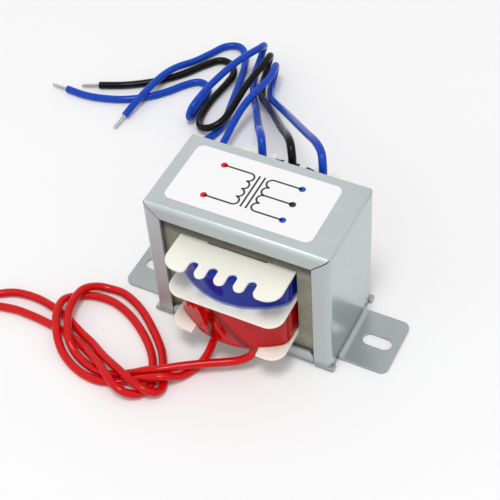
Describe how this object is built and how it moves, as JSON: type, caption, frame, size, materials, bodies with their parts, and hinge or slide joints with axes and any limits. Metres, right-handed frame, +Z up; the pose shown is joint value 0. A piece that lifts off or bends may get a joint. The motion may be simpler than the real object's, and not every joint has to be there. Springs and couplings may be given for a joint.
{
  "type": "transformer",
  "caption": "Laminated chassis transformer with a two-chamber bobbin in a folded frame with slotted feet, taped windings and knotted flying leads.",
  "frame": {"origin": "on the mounting surface under the middle of the core", "axes": "+X along the feet, +Z up, the face with the red primary leads looks to -Y"},
  "size_m": [0.1395, 0.1367, 0.0427],
  "materials": {
    "frame_sheet": "satin galvanised sheet",
    "core_steel": "dull varnished electrical steel",
    "bobbin_plastic": "ivory moulded plastic",
    "winding_wire": "enamelled copper wire",
    "red_tape": "glossy polyester tape",
    "blue_tape": "glossy polyester tape",
    "label_film": "matt white film",
    "red_lead": "soft vinyl insulation",
    "blue_lead": "soft vinyl insulation",
    "black_lead": "soft vinyl insulation",
    "tinned_wire": "tinned stranded copper"
  },
  "bodies": {
    "root": {"mounting_frame": "frame_sheet", "bottom_strap": "frame_sheet", "e_laminations": "core_steel", "i_laminations": "core_steel", "bobbin": "bobbin_plastic", "primary_winding": "winding_wire", "secondary_winding": "winding_wire", "primary_tape": "red_tape", "secondary_tape": "blue_tape", "label": "label_film", "primary_lead_a": "red_lead", "primary_lead_b": "red_lead", "secondary_lead_a": "blue_lead", "centre_tap_lead": "black_lead", "secondary_lead_b": "blue_lead", "primary_end_a": "tinned_wire", "primary_end_b": "tinned_wire", "secondary_end_a": "tinned_wire", "centre_tap_end": "tinned_wire", "secondary_end_b": "tinned_wire"}
  },
  "joints": []
}
